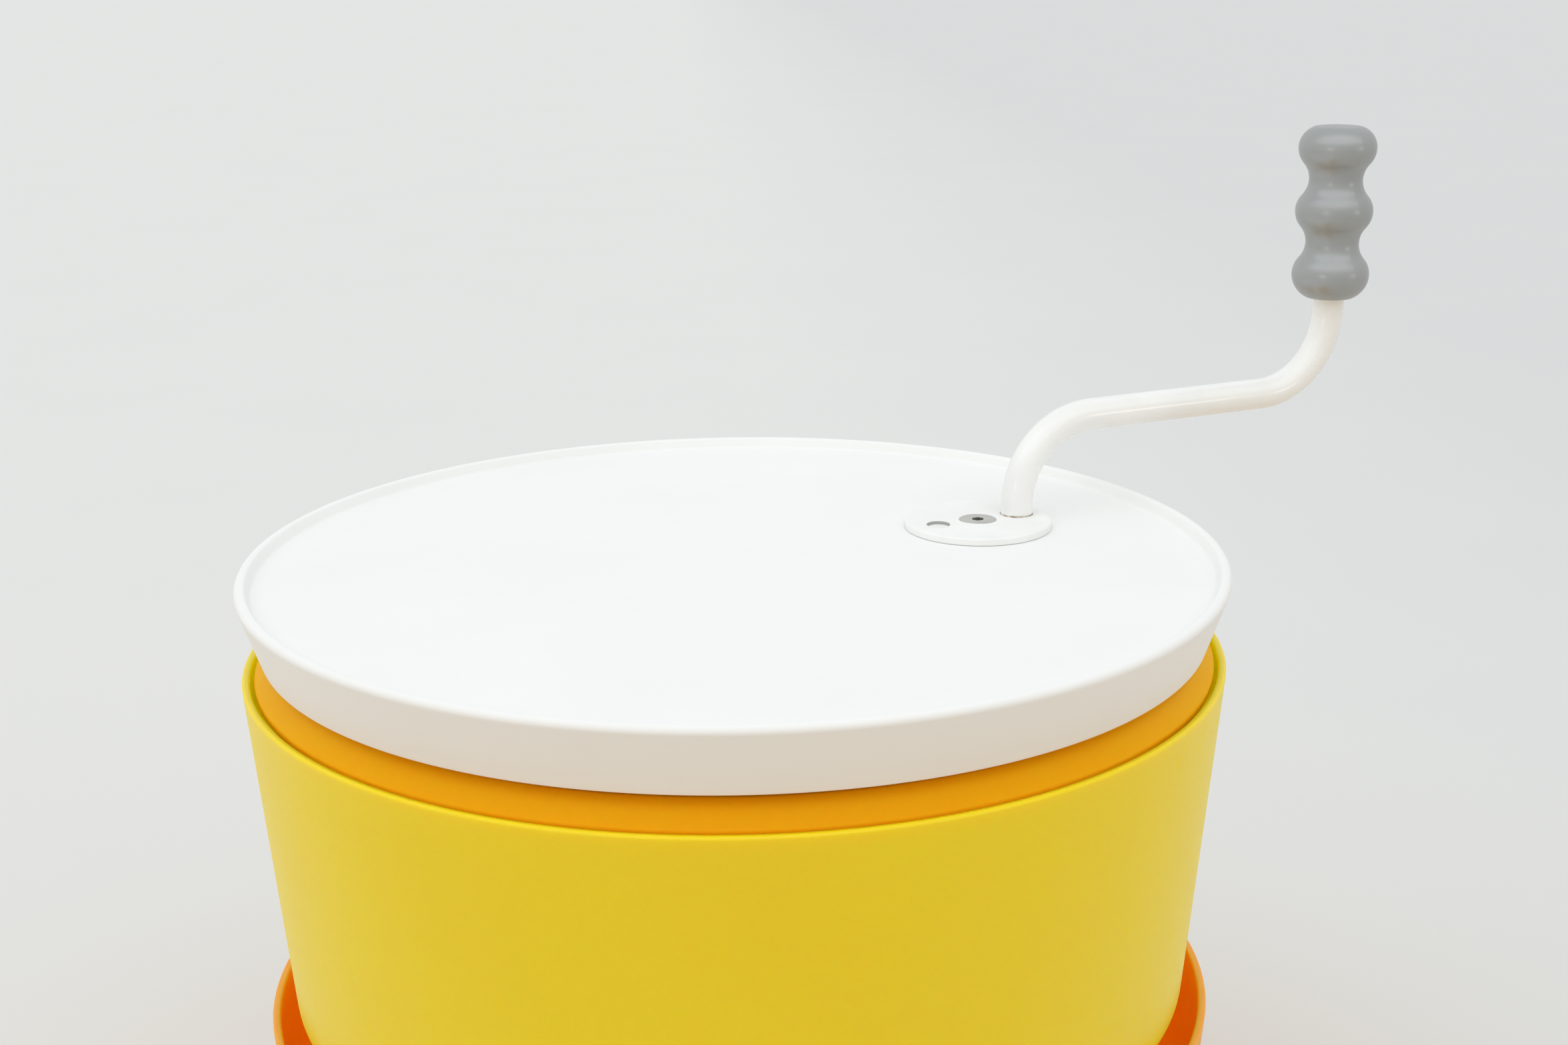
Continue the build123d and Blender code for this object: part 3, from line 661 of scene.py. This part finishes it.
# Lid. A shallow white disc with a raised rim and a skirt that tapers inward, moulded from fine satin plastic.
# It sits on the bearing sleeve, clear of the splash tub, and has a round hole for the crank.
lid_low, lid_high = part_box("lid_shell")
lid_segments = 384
lid_radius = 210 * mm
lid_foot_radius = 201.3 * mm
lid_wall = 3.2 * mm
lid_plate = 3 * mm
lid_face_depth = 4.6 * mm
lid_face = lid_high.z - lid_face_depth
lid_face_radius = 203.6 * mm
lid_rim_width = 4.4 * mm
lid_rim_rounding = 2.4 * mm
lid_inner_radius = 203.2 * mm
lid_inner_rounding = 2 * mm
skirt_inner_edge = 0.6 * mm
skirt_outer_edge = 0.8 * mm
bush_low, bush_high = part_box("crank_bush")
crank_axis = ((bush_low.x + bush_high.x) / 2, 0)
crank_hole_radius = 31.5 * mm
hole_segments = 96


def cut(mesh, *cutters):
    """The mesh with closed cutter meshes taken out of it."""
    work = bpy.data.objects.new("work", mesh)
    bpy.context.scene.collection.objects.link(work)
    tools = []
    for cutter in cutters:
        tool = bpy.data.objects.new("tool", cutter)
        bpy.context.scene.collection.objects.link(tool)
        modifier = work.modifiers.new("cut", "BOOLEAN")
        modifier.operation = "DIFFERENCE"
        modifier.solver = "EXACT"
        modifier.object = tool
        tools.append(tool)
    result = bpy.data.meshes.new_from_object(work.evaluated_get(bpy.context.evaluated_depsgraph_get()))
    result.name = mesh.name
    for spare in (work, *tools):
        bpy.data.objects.remove(spare)
    result.shade_smooth()
    result.set_sharp_from_angle(angle=crease_angle)
    return result


def upright_bar(radius, bottom, top, axis, segments=hole_segments):
    """Closed bar on an upright axis, round or with few sides, for cutting holes."""
    outline = [Vector((0, bottom)), Vector((radius, bottom)), Vector((radius, top)), Vector((0, top))]
    return turned_mesh("bar", outline, segments, axis)


lid_slope = (lid_radius - lid_foot_radius) / (lid_high.z - lid_low.z)
lid_corner_radius = lid_radius + lid_rim_rounding * (lid_slope + math.hypot(1, lid_slope) - 1)
lid_corners = [
    (0, lid_face - lid_plate, 0),
    (lid_inner_radius, lid_face - lid_plate, lid_inner_rounding),
    (lid_foot_radius - lid_wall, lid_low.z, skirt_inner_edge),
    (lid_foot_radius, lid_low.z, skirt_outer_edge),
    (lid_corner_radius, lid_high.z, lid_rim_rounding),
    (lid_radius - lid_rim_width, lid_high.z, tub_edge),
    (lid_face_radius, lid_face, tub_edge),
    (0, lid_face, 0),
]
lid_mesh = turned_mesh("lid_disc", held_runs(rounded_outline(lid_corners)), lid_segments)
crank_hole = upright_bar(crank_hole_radius, lid_face - 2 * lid_plate, lid_face + lid_plate, crank_axis)
lid = add_piece("lid_disc", cut(lid_mesh, crank_hole), white_plastic)
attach(lid, "lid")
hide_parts("lid_shell")

# Crank plate. The round enamelled steel plate at the crank's foot, held on the crank gear by a countersunk
# screw. A second hole in it shows the sunk end of a steel dowel, with grey painted on that hole's wall as
# shade in the recess, and the rod's foot passes through a third.
plate_low, plate_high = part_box("crank_disc")
plate_radius = plate_high.x - crank_axis[0]
plate_edge = 0.8 * mm
plate_segments = 160
rod_offset = 20.4 * mm
rod_radius = 7.25 * mm
rod_gap = 0.25 * mm
dowel_radius = 5 * mm
screw_head_radius = 8.65 * mm
screw_thread_radius = 4 * mm
head_gap = 0.12 * mm
head_depth = screw_head_radius - screw_thread_radius
cut_margin = 1 * mm
enamel_white = (0.90, 0.90, 0.885)
enamel_tones = (0.97, 1.02)
enamel_gloss = 0.3
coat_roughness = 0.07
hairline_span = (0.60, 0.75)
hairline_roughness = 0.12
peel_depth = 0.035 * mm
wear_width = 0.1 * mm
# Grey painted on the wall of the dowel's hole, as shade in the recess.
hole_shade_grey = (0.46, 0.46, 0.44, 1)


def blend(material, factor, first, second):
    """Mixes two colours by a factor."""
    inputs = {"Fac": factor, "Color1": first, "Color2": second}
    return add_node(material, "ShaderNodeMixRGB", inputs).outputs["Color"]


def baked_enamel(name, roughness, coat, stain_and_shade, stain_and_shade_colour):
    """Thick baked coating over steel, with a faint orange peel and thin hairlines, more or less gloss, and a
    second colour blended in by a mask: a stain on the rod, painted shade on the wall of the dowel's hole."""
    material, shader = new_material(name)
    clouds = noise(material, scale=45, detail=3)
    peel = noise(material, scale=330)
    hairlines = noise(material, scale=700, detail=3, stretch=(0.04, 1, 1))
    whole = tones(material, clouds, noise_span, enamel_white, enamel_tones)
    scored = spread(material, hairlines, *hairline_span, roughness, roughness + hairline_roughness)
    join(material, blend(material, stain_and_shade(material), whole, stain_and_shade_colour), shader, "Base Color")
    join(material, scored, shader, "Roughness")
    join(material, relief(material, [(peel, peel_depth)]), shader, "Normal")
    shader.inputs["Specular IOR Level"].default_value = enamel_gloss
    shader.inputs["Coat Weight"].default_value = coat
    shader.inputs["Coat Roughness"].default_value = coat_roughness
    return material


def beside_crank(offset):
    """A point on the crank's line, at an offset from its axis."""
    return crank_axis[0] + offset, 0


def hole_wall_shade(material):
    """One on the wall of the dowel's hole and a hair's breadth beside it, where grey is painted as shade, and
    none elsewhere.
    """
    radius = level_radius(material, beside_crank(-rod_offset))
    return reckon(material, "COMPARE", radius, dowel_radius + rod_gap, wear_width)


# The plate's coat has painted shade, a grey wall, in the dowel's hole.
plate_enamel = baked_enamel("plate_enamel", roughness=0.45, coat=0.0, stain_and_shade=hole_wall_shade, stain_and_shade_colour=hole_shade_grey)
plate_corners = [
    (0, plate_low.z, 0),
    (plate_radius, plate_low.z, 0),
    (plate_radius, plate_high.z, plate_edge),
    (0, plate_high.z, 0),
]
plate_mesh = turned_mesh(
    "crank_plate", held_runs(rounded_outline(plate_corners)), plate_segments, crank_axis)
cut_top = plate_high.z + cut_margin
cut_bottom = plate_low.z - cut_margin
head_hole = turned_mesh("head_hole", [
    Vector((0, cut_top)),
    Vector((screw_head_radius + head_gap + cut_margin, cut_top)),
    Vector((screw_thread_radius + head_gap, plate_high.z - head_depth)),
    Vector((0, plate_high.z - head_depth)),
], hole_segments, crank_axis)
rod_hole = upright_bar(rod_radius + rod_gap, cut_bottom, cut_top, beside_crank(rod_offset))
dowel_hole = upright_bar(dowel_radius + rod_gap, cut_bottom, cut_top, beside_crank(-rod_offset))
plate = add_piece("crank_plate", cut(plate_mesh, rod_hole, dowel_hole, head_hole), plate_enamel)
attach(plate, "crank")
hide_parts("crank_disc")

# Crank fasteners. The countersunk socket screw is bright steel. The dowel is turned steel too, and it is
# coated together with the plate.
screw_low, screw_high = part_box("crank_screw")
screw_margin = 0.15 * mm
thread_chamfer = 0.6 * mm
head_lip = 0.3 * mm
head_lip_rounding = 0.15 * mm
head_bevel = 0.5 * mm
head_bevel_rounding = 0.2 * mm
socket_flats = 5 * mm
socket_radius = socket_flats / math.sqrt(3)
socket_depth = 3.6 * mm
socket_sides = 6
screw_corners = [
    (0, screw_low.z, 0),
    (screw_thread_radius - thread_chamfer, screw_low.z, 0),
    (screw_thread_radius, screw_low.z + thread_chamfer, 0),
    (screw_thread_radius, screw_high.z - head_depth, 0),
    (screw_head_radius - head_lip, screw_high.z - head_lip, head_lip_rounding),
    (screw_head_radius - head_bevel, screw_high.z, head_bevel_rounding),
    (0, screw_high.z, 0),
]
screw_points = held_runs(rounded_outline(screw_corners), screw_margin)
screw_mesh = turned_mesh("socket_screw", screw_points, hole_segments, crank_axis)
socket_bottom = screw_high.z - socket_depth
socket = upright_bar(socket_radius, socket_bottom, screw_high.z + cut_margin, crank_axis, socket_sides)
screw = add_piece("socket_screw", cut(screw_mesh, socket), bright_steel)
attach(screw, "crank")
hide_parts("crank_screw")
dress("drive_dowel", plate_enamel)

# Crank rod. A solid round steel bar, bent up, out and up again on one radius and coated like the plate. Its
# foot is pressed into the crank gear through the plate, and a thin brown stain has gathered round it there.
rod_low, rod_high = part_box("crank_rod")
grip_low, grip_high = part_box("grip")
grip_axis = ((grip_low.x + grip_high.x) / 2, 0)
rod_bend = 38 * mm
rod_bend_step = math.radians(3)
rod_arm = 393.3 * mm
rod_sides = 64
stain_full = plate_high.z + 0.3 * mm
stain_end = plate_high.z + 1.0 * mm
stain_span = (0.42, 0.62)
stain_least = 0.25
foot_brown = (0.36, 0.25, 0.11, 1)


def foot_line(material):
    """Share of a thin stain just above the plate, broken up along its length."""
    low = spread(material, place_height(material), stain_full, stain_end, 1, 0)
    broken = spread(material, noise(material, scale=300, detail=3), *stain_span, stain_least, 1)
    return reckon(material, "MULTIPLY", low, broken)


def bar_path():
    """Points up, out and up again in the crank's plane, with each bend as an arc."""
    foot_x = crank_axis[0] + rod_offset
    end_x = grip_axis[0]
    back = Vector((-rod_bend, 0))
    up = Vector((0, rod_bend))
    first_bend = arc_points(Vector((foot_x + rod_bend, rod_arm - rod_bend)), back, up, rod_bend_step)
    second_bend = arc_points(Vector((end_x - rod_bend, rod_arm + rod_bend)), -up, -back, rod_bend_step)
    return [Vector((foot_x, rod_low.z)), *first_bend, *second_bend, Vector((end_x, rod_high.z))]


def swept_bar(name, path, radius, sides):
    """Round bar along a path of (x, z) points in the crank's plane."""
    shape = bmesh.new()
    rings = []
    for index, point in enumerate(path):
        before = path[max(index - 1, 0)]
        after = path[min(index + 1, len(path) - 1)]
        heading = (after - before).normalized()
        across = Vector((heading.y, -heading.x))
        ring = []
        for side in range(sides):
            turn = 2 * math.pi * side / sides
            x, z = point + across * radius * math.cos(turn)
            ring.append(shape.verts.new((x, radius * math.sin(turn), z)))
        rings.append(ring)
    for near, far in zip(rings, rings[1:]):
        for side in range(sides):
            shape.faces.new((near[side - 1], near[side], far[side], far[side - 1]))
    shape.faces.new(rings[0])
    shape.faces.new(rings[-1])
    return closed_mesh(name, shape)


rod_enamel = baked_enamel("rod_enamel", roughness=0.25, coat=0.6, stain_and_shade=foot_line, stain_and_shade_colour=foot_brown)
rod = add_piece("bent_rod", swept_bar("bent_rod", bar_path(), rod_radius, rod_sides), rod_enamel)
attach(rod, "crank")
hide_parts("crank_rod")
dress("grip_clip", bright_steel)

# Grip. A grey handle with three bulges, moulded round a plastic liner that turns freely on the rod, with a
# faint mould seam up both sides. A spring clip in the rod's groove keeps it on.
grip_segments = 192
grip_step = math.radians(4)
bulge_radius = (grip_high.x - grip_low.x) / 2
bulge_heights = (448 * mm, 478 * mm, 507.7 * mm)
waist_radius = 12.4 * mm
grip_end_radius = 11 * mm
grip_end_rise = 0.7 * mm
grip_bore = 10 * mm
grip_bore_top = 509 * mm
dome_steps = 8
seam_height = 0.10 * mm
seam_start = grip_bore + 1 * mm
grip_grey = (0.248, 0.262, 0.265)
grip_tones = (0.96, 1.03)
grip_roughness = (0.30, 0.36)
grip_index = 1.8
grip_gloss = 1.0
grip_grain_depth = 0.004 * mm
rubbed_span = (0.35, 0.7)
rubbed_depth = 0.008 * mm


def bulge_arc(bulge, end, from_bulge):
    """Arc from the widest point of a bulge, where the outline is upright, to another point of it."""
    drop = bulge.x - end.x
    radius = (drop**2 + (end.y - bulge.y)**2) / (2 * drop)
    centre = Vector((bulge.x - radius, bulge.y))
    arms = (bulge - centre, end - centre) if from_bulge else (end - centre, bulge - centre)
    return arc_points(centre, *arms, grip_step)


def waist_arc(start, waist, end):
    """Arc through the narrowest point between two bulges."""
    drop = start.x - waist.x
    radius = (drop**2 + (start.y - waist.y)**2) / (2 * drop)
    centre = Vector((waist.x + radius, waist.y))
    return arc_points(centre, start - centre, end - centre, grip_step)


def handle_plastic(name):
    """Semi-gloss moulded plastic with a faint grain and handling marks."""
    material, shader = new_material(name)
    clouds = noise(material, scale=55, detail=3)
    grain = noise(material, scale=1500)
    rubbed = noise(material, scale=130, detail=4)
    join(material, tones(material, clouds, noise_span, grip_grey, grip_tones), shader, "Base Color")
    join(material, spread(material, rubbed, *rubbed_span, *grip_roughness), shader, "Roughness")
    join(material, relief(material, [(rubbed, rubbed_depth), (grain, grip_grain_depth)]), shader, "Normal")
    shader.inputs["IOR"].default_value = grip_index
    shader.inputs["Specular IOR Level"].default_value = grip_gloss
    return material


lowest_bulge = Vector((bulge_radius, bulge_heights[0]))
highest_bulge = Vector((bulge_radius, bulge_heights[-1]))
grip_start = Vector((grip_end_radius, grip_low.z))
grip_end = Vector((grip_end_radius, grip_high.z - grip_end_rise))
middle_radius = (bulge_radius + waist_radius) / 2
grip_points = [Vector((grip_bore, grip_low.z))]
grip_points += bulge_arc(lowest_bulge, grip_start, from_bulge=False)
for below, above in zip(bulge_heights, bulge_heights[1:]):
    quarter = (above - below) / 4
    leave = Vector((middle_radius, below + quarter))
    meet = Vector((middle_radius, above - quarter))
    waist = Vector((waist_radius, below + 2 * quarter))
    grip_points += bulge_arc(Vector((bulge_radius, below)), leave, from_bulge=True)[1:]
    grip_points += waist_arc(leave, waist, meet)[1:]
    grip_points += bulge_arc(Vector((bulge_radius, above)), meet, from_bulge=False)[1:]
grip_points += bulge_arc(highest_bulge, grip_end, from_bulge=True)[1:]
for step in range(1, dome_steps + 1):
    share = 1 - step / dome_steps
    grip_points.append(Vector((grip_end_radius * share, grip_high.z - grip_end_rise * share**2)))
grip_points += [Vector((0, grip_bore_top)), Vector((grip_bore, grip_bore_top))]
grip_mesh = turned_mesh("handle", grip_points, grip_segments, grip_axis)
for vertex in grip_mesh.vertices:
    arm = Vector((vertex.co.x - grip_axis[0], vertex.co.y))
    if arm.length > seam_start and abs(arm.x) < no_length:
        vertex.co.y += math.copysign(seam_height, arm.y)
handle = add_piece("handle", grip_mesh, handle_plastic("handle_plastic"))
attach(handle, "grip")
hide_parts("grip")
dress("grip_sleeve", acetal)

# Studio floor. A wide pale floor, with painted shade that makes it a little darker on the right. Its colour
# for the light that it throws back on the object is painted warmer in front than behind.
floor_size = 60.0
floor_cells = 8
floor_left = (0.745, 0.740, 0.728, 1)
# Painted shade: the floor's colour on its right, darker than on its left.
floor_right_shaded = (0.672, 0.674, 0.672, 1)
floor_fade = (0.1, 1.2)
floor_clouds = 0.1
floor_roughness = 0.9
floor_gloss = 0.1
# Painted bounce light: floor colours seen only by light thrown back onto the object.
bounce_front = (0.64, 0.55, 0.44, 1)
bounce_back = (0.92, 0.915, 0.90, 1)
bounce_fade = (-0.4, 0.4)
front = Vector((-0.37, -0.93, 0))
aside = Vector((0.93, -0.37, 0))


def along(material, place, line):
    """How far a place, or a direction, lies along a line."""
    return reckon_vector(material, "DOT_PRODUCT", "Value", place, line)


def shown(material):
    """One for rays that show the floor or the surround, straight or mirrored, and none for their light."""
    path = add_node(material, "ShaderNodeLightPath", {}).outputs
    rays = path["Is Camera Ray"]
    for kind in ("Is Glossy Ray", "Is Transmission Ray"):
        rays = reckon(material, "MAXIMUM", rays, path[kind])
    return rays


def floor_paper(name):
    """Dull pale paper with the faintest unevenness, painted shade towards the right and painted bounce
    colours.
    """
    material, shader = new_material(name)
    clouds = noise(material, scale=3)
    place = own_place(material)
    half = floor_clouds / 2
    across = spread(material, along(material, place, aside), *floor_fade, -half, 1 - half)
    cloudy = spread(material, clouds, *noise_span, 0, floor_clouds)
    pale = ramp(material, reckon(material, "ADD", across, cloudy), 0, 1, floor_left, floor_right_shaded)
    forward = spread(material, along(material, place, front), *bounce_fade, 0, 1)
    bounce = ramp(material, forward, 0, 1, bounce_back, bounce_front)
    join(material, blend(material, shown(material), bounce, pale), shader, "Base Color")
    shader.inputs["Roughness"].default_value = floor_roughness
    shader.inputs["Specular IOR Level"].default_value = floor_gloss
    return material


def studio_floor():
    """Wide flat floor at the height of the object's foot."""
    shape = bmesh.new()
    bmesh.ops.create_grid(shape, x_segments=floor_cells, y_segments=floor_cells, size=floor_size / 2)
    floor = add_piece("floor", closed_mesh("floor", shape), floor_paper("floor_paper"))
    floor.location.z = cad_box[0][2]
    return floor


studio_floor()

# Surround. A pale room, a little duller on the right, bright and cool overhead, with a broad window high in
# front. The part of it in front lights the object only with a dim warm light.
left_glow = (0.89, 0.89, 0.875, 1)
right_glow = (0.74, 0.745, 0.74, 1)
front_glow = (0.46, 0.405, 0.33, 1)
overhead_glow = (0.83, 0.845, 0.85, 1)
window_glow = (1.50, 1.555, 1.58, 1)
window_side = Vector((-0.57, -0.82, 0))
front_span = (0.35, 0.9)
overhead_rise = (0.25, 0.85)
sill_rise = (0.42, 0.52)
sash_span = (-0.05, 0.25)
no_dimming = (0, 0, 0, 1)
world = bpy.data.worlds.new("surround")
world.use_nodes = True
background = world.node_tree.nodes["Background"]
direction = add_node(world, "ShaderNodeTexCoord", {}).outputs["Generated"]
rise = add_node(world, "ShaderNodeSeparateXYZ", {"Vector": direction}).outputs["Z"]
sideways = spread(world, along(world, direction, aside), -1, 1, 0, 1)
sides = ramp(world, sideways, 0, 1, left_glow, right_glow)
dimmed = spread(world, along(world, direction, front), *front_span, 0, 1)
dim_share = blend(world, shown(world), dimmed, no_dimming)
around = blend(world, dim_share, sides, front_glow)
glow = blend(world, spread(world, rise, *overhead_rise, 0, 1), around, overhead_glow)
sill = spread(world, rise, *sill_rise, 0, 1)
sash = spread(world, along(world, direction, window_side), *sash_span, 0, 1)
pane = reckon(world, "MULTIPLY", sill, sash)
join(world, blend(world, pane, glow, window_glow), background, "Color")
bpy.context.scene.world = world

# Lamps. Two small warm lamps on both sides of the camera, a little above the horizon. Light also passes many
# times between the lid and the tubs, so it may bounce more often than usual.
lamp_strength = 0.07
lamp_width = math.radians(8)
lamp_rise = math.radians(4)
lamp_bearings = {"left_lamp": math.radians(208.5), "right_lamp": math.radians(302.5)}
lamplight = (1.0, 0.93, 0.82)
light_bounces = 12
for name, bearing in lamp_bearings.items():
    lamp = bpy.data.lights.new(name, "SUN")
    lamp.energy = lamp_strength
    lamp.color = lamplight
    lamp.angle = lamp_width
    sun = bpy.data.objects.new(name, lamp)
    level = math.cos(lamp_rise)
    towards = Vector((math.cos(bearing) * level, math.sin(bearing) * level, math.sin(lamp_rise)))
    sun.rotation_euler = towards.to_track_quat("Z", "Y").to_euler()
    bpy.context.scene.collection.objects.link(sun)
bpy.context.scene.cycles.diffuse_bounces = light_bounces

# Camera. Where the photo was taken from: about 0.9 m from the lid's axis and 0.26 m above its rim, turned so
# that the crank points to the right and away.
camera_distance = 0.88075
camera_rise = 0.26115
crank_bearing = math.radians(23.5)
pan = math.radians(1.388)
pitch = math.radians(15.794)
roll = math.radians(-0.505)
lens_width = 36.0
frame_pixels = 2352
focal_pixels = 3200
lens_length = lens_width * focal_pixels / frame_pixels
look = Vector((math.sin(pan) * math.cos(pitch), math.cos(pan) * math.cos(pitch), -math.sin(pitch)))
level_right = Vector((math.cos(pan), -math.sin(pan), 0))
level_up = level_right.cross(look)
right = level_right * math.cos(roll) + level_up * math.sin(roll)
upward = level_up * math.cos(roll) - level_right * math.sin(roll)
placing = Matrix((right, upward, -look)).transposed().to_4x4()
placing.translation = Vector((0, -camera_distance, lid_high.z + camera_rise))
lens = bpy.data.cameras.new("camera")
lens.sensor_fit = "HORIZONTAL"
lens.sensor_width = lens_width
lens.lens = lens_length
camera = bpy.data.objects.new("camera", lens)
camera.matrix_world = Matrix.Rotation(-crank_bearing, 4, "Z") @ placing
bpy.context.scene.collection.objects.link(camera)
bpy.context.scene.camera = camera
bpy.context.scene.view_settings.view_transform = "Standard"
